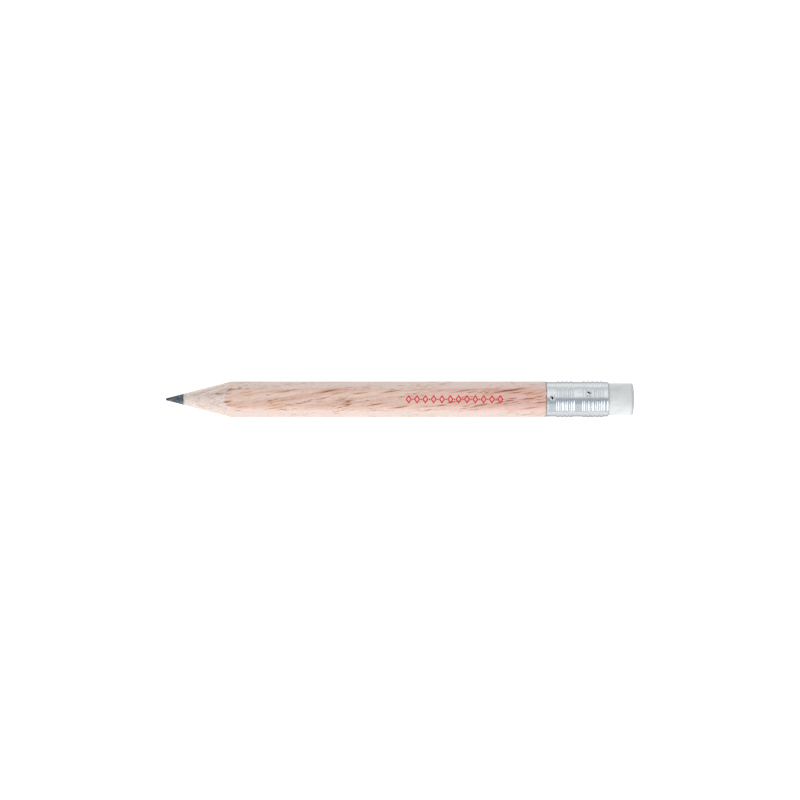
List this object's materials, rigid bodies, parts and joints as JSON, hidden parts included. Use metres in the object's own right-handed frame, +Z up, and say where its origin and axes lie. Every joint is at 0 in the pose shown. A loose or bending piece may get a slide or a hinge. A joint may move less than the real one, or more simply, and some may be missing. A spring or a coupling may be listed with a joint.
{
  "type": "graphite pencil",
  "caption": "Short hexagonal graphite pencil in clear-lacquered natural wood, sharpened to a cone, with a ribbed aluminium ferrule and a white eraser.",
  "frame": {"origin": "on the table, under the middle of the pencil's length, with the ferrule's ribs touching the table", "axes": "+X along the pencil from the point to the eraser, +Z up through the printed flat, +Y to the left when looking from the point to the eraser"},
  "size_m": [0.1, 0.0076, 0.0076],
  "materials": {
    "wood": "natural light wood, clear satin lacquer on the barrel and raw on the sharpened cone",
    "glue": "cured clear white glue",
    "graphite": "fired graphite and clay, dark grey with a waxy sheen",
    "aluminium": "drawn bright aluminium, plain",
    "eraser_vinyl": "white vinyl eraser, matt",
    "red_ink": "red printing ink, satin"
  },
  "bodies": {
    "root": {"upper_slat": "wood", "lower_slat": "wood", "glue_film": "glue", "graphite_lead": "graphite", "ferrule": "aluminium", "eraser": "eraser_vinyl", "printed_ornament": "red_ink"}
  },
  "joints": []
}
